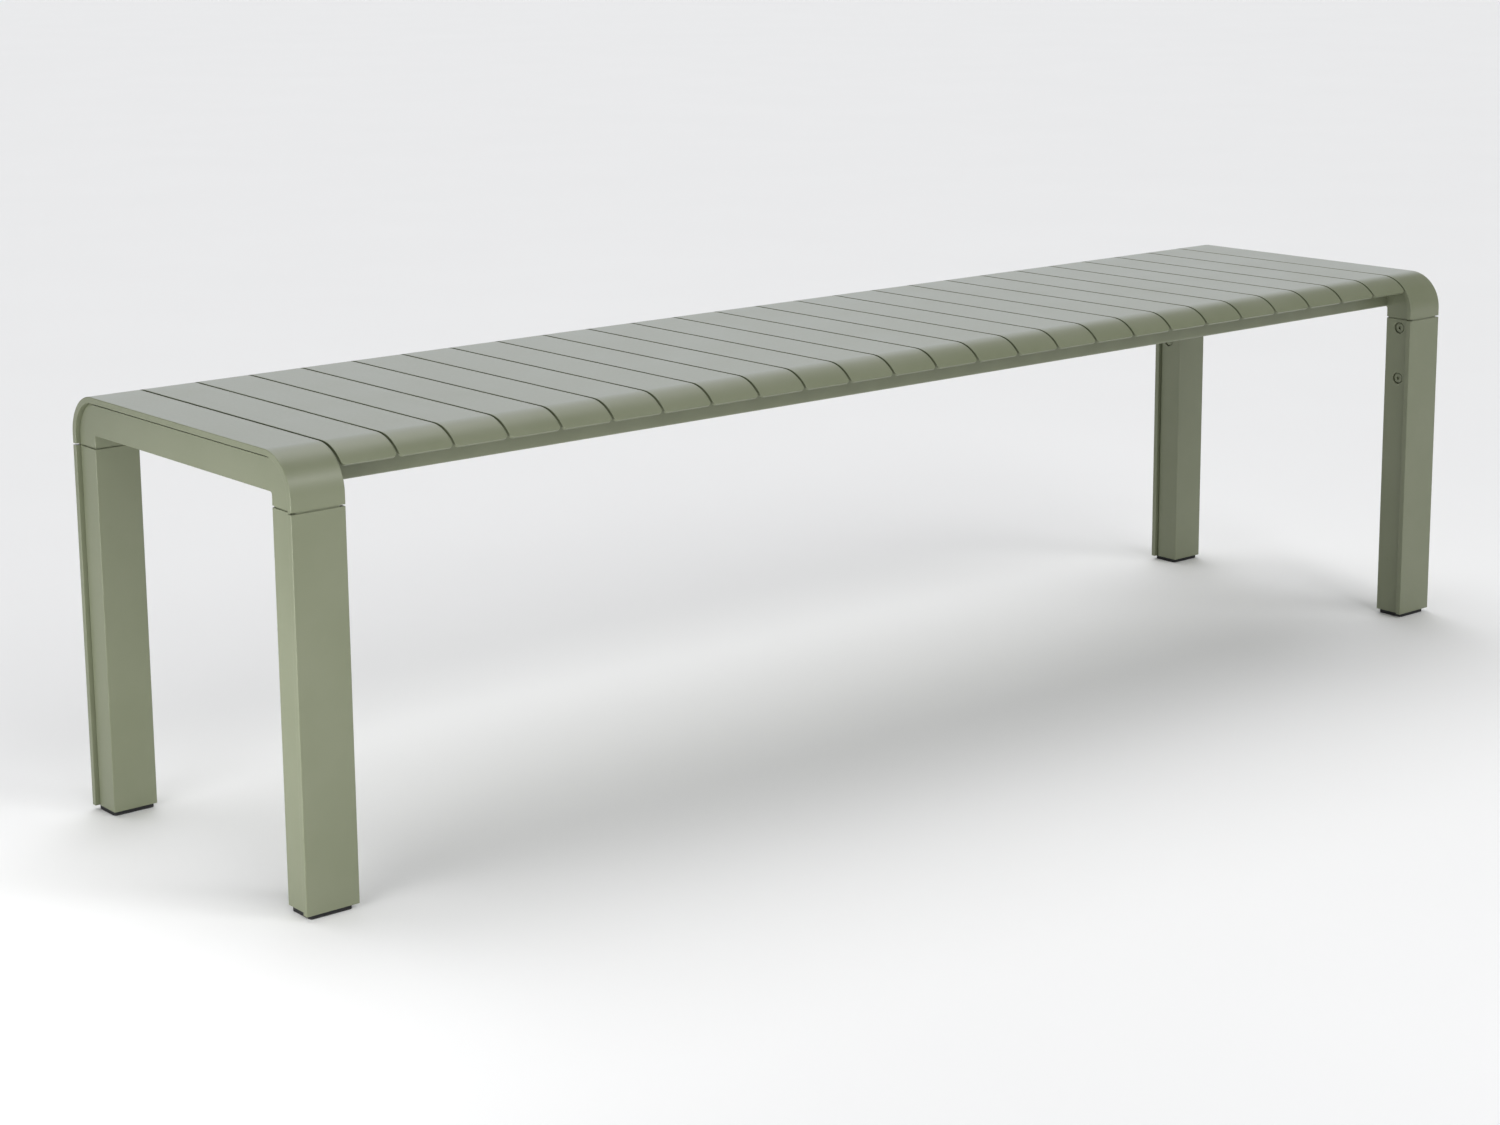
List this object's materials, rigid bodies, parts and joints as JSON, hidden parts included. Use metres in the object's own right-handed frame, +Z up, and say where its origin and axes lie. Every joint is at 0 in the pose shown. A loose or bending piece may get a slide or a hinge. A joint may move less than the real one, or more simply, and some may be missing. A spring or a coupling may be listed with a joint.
{
  "type": "backless bench",
  "caption": "Backless slatted garden bench with rounded seat edges, banded end frames and square bolted legs on plastic feet.",
  "frame": {"origin": "on the floor below the middle of the seat", "axes": "+X along the bench, +Y to its back, +Z up; the front faces -Y"},
  "size_m": [1.75, 0.445, 0.46],
  "materials": {
    "powder_coat": "satin",
    "coated_bolt": "satin",
    "black_plastic": "matte"
  },
  "bodies": {
    "root": {"centre_rail": "powder_coat", "corner_front_left": "powder_coat", "corner_front_right": "powder_coat", "corner_rear_left": "powder_coat", "corner_rear_right": "powder_coat", "end_beam_left": "powder_coat", "end_beam_right": "powder_coat", "foot_front_left": "black_plastic", "foot_front_right": "black_plastic", "foot_rear_left": "black_plastic", "foot_rear_right": "black_plastic", "front_rail": "powder_coat", "leg_bolts_front_left": "coated_bolt", "leg_bolts_front_right": "coated_bolt", "leg_bolts_rear_left": "coated_bolt", "leg_bolts_rear_right": "coated_bolt", "leg_front_left": "powder_coat", "leg_front_right": "powder_coat", "leg_rear_left": "powder_coat", "leg_rear_right": "powder_coat", "rear_rail": "powder_coat", "slat_01": "powder_coat", "slat_02": "powder_coat", "slat_03": "powder_coat", "slat_04": "powder_coat", "slat_05": "powder_coat", "slat_06": "powder_coat", "slat_07": "powder_coat", "slat_08": "powder_coat", "slat_09": "powder_coat", "slat_10": "powder_coat", "slat_11": "powder_coat", "slat_12": "powder_coat", "slat_13": "powder_coat", "slat_14": "powder_coat", "slat_15": "powder_coat", "slat_16": "powder_coat", "slat_17": "powder_coat", "slat_18": "powder_coat", "slat_19": "powder_coat", "slat_20": "powder_coat", "slat_21": "powder_coat", "slat_22": "powder_coat", "slat_23": "powder_coat", "slat_24": "powder_coat", "slat_25": "powder_coat"}
  },
  "joints": []
}
